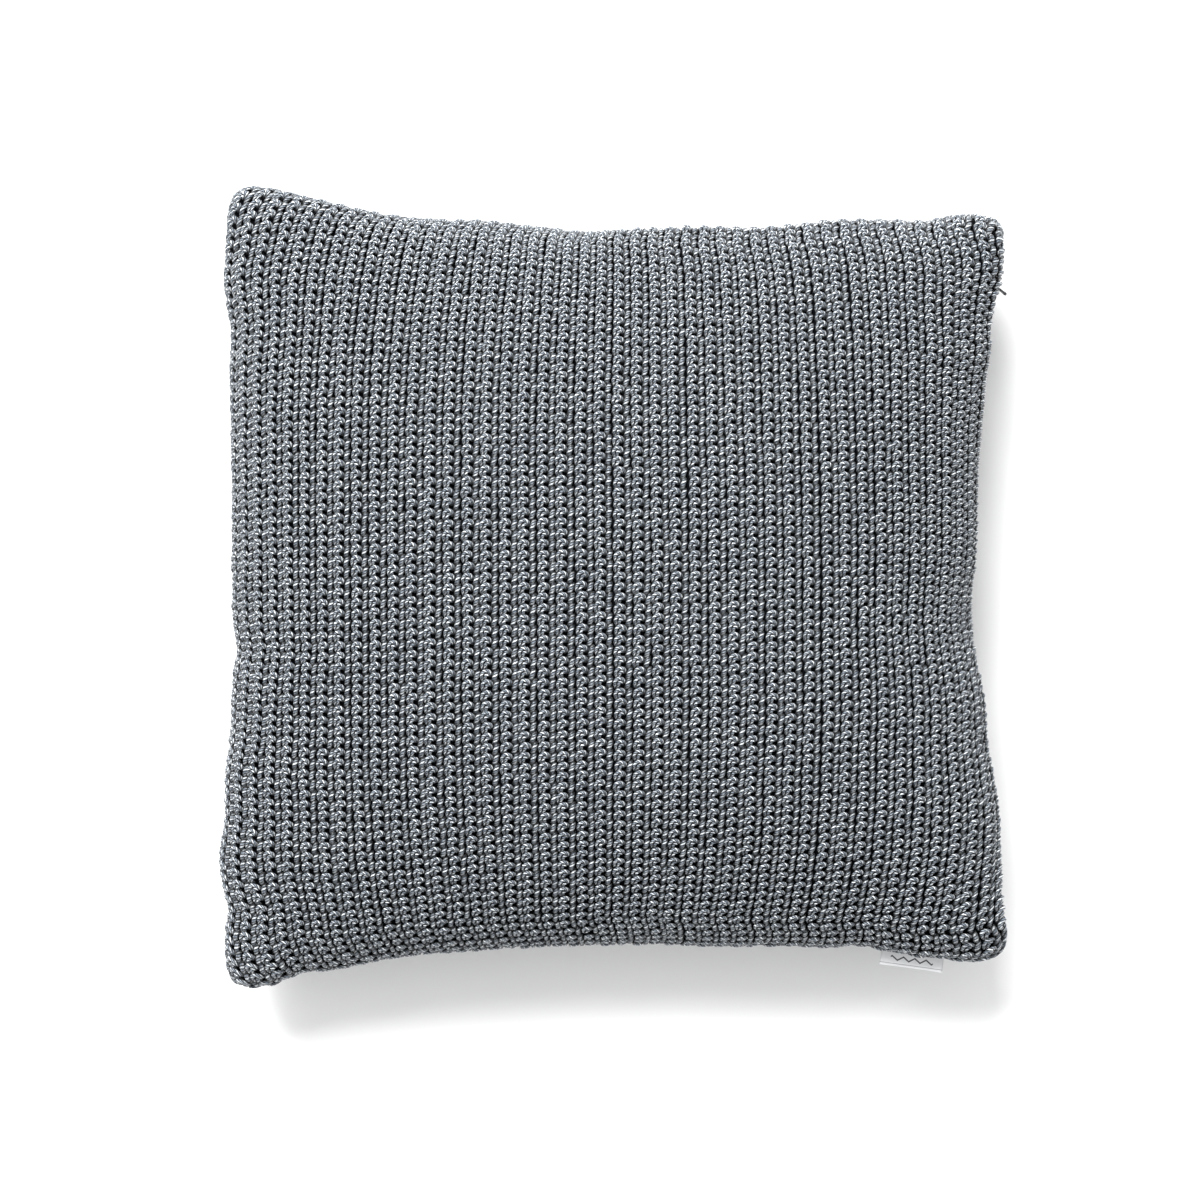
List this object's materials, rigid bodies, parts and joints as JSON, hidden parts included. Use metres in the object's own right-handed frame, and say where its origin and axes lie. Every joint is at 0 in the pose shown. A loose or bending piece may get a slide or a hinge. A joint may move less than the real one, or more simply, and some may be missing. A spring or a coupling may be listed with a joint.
{
  "type": "throw pillow",
  "caption": "Square throw pillow: crocheted cord cover with a side zip and seam label over a fibre-filled inner cushion.",
  "frame": {"origin": "on the floor, under the middle of the bounding box, with the pillow lying on its back", "axes": "+Z out of the front panel, +Y towards the top edge, +X towards the side with the zip"},
  "size_m": [0.5018, 0.5063, 0.1237],
  "materials": {
    "crochet_cord": "soft satin twisted cord",
    "casing_fabric": "matt woven",
    "fibre": "matt fibre",
    "zip_coil": "satin",
    "zip_tape": "matt woven",
    "sewing_thread": "satin thread",
    "zip_metal": "dark gunmetal satin",
    "label_fabric": "woven satin ribbon"
  },
  "bodies": {
    "cushion": {"cover_front": "crochet_cord", "cover_back": "crochet_cord", "seam_cord": "crochet_cord", "inner_casing_front": "casing_fabric", "inner_casing_back": "casing_fabric", "inner_casing_seam": "casing_fabric", "fibre_filling": "fibre", "zip_coil_front": "zip_coil", "zip_coil_back": "zip_coil", "zip_tape_front": "zip_tape", "zip_tape_back": "zip_tape", "zip_stitching_front": "sewing_thread", "zip_stitching_back": "sewing_thread", "zip_top_stop_front": "zip_metal", "zip_top_stop_back": "zip_metal", "zip_bottom_stop": "zip_metal", "label_stitching": "label_fabric", "care_label": "label_fabric"},
    "slider": {"zip_slider": "zip_metal"},
    "pull": {"zip_pull": "zip_metal"},
    "label": {"side_label": "label_fabric"}
  },
  "joints": [
    {"name": "zip_travel", "type": "hinge", "parent": "cushion", "child": "slider", "pos_m": [1.378, 0.01, 0.056], "axis": [0, 0, 1], "range_deg": [0, 19.17]},
    {"name": "pull_swing", "type": "hinge", "parent": "slider", "child": "pull", "pos_m": [0.24147, 0.19319, 0.056], "axis": [0, 0, 1], "range_deg": [-58, 115]},
    {"name": "label_flex", "type": "hinge", "parent": "cushion", "child": "label", "pos_m": [0.19089, -0.23274, 0.056], "axis": [0.9905, -0.1375, 0], "range_deg": [-60, 60], "stiffness_Nm_per_rad": 0.0005}
  ]
}
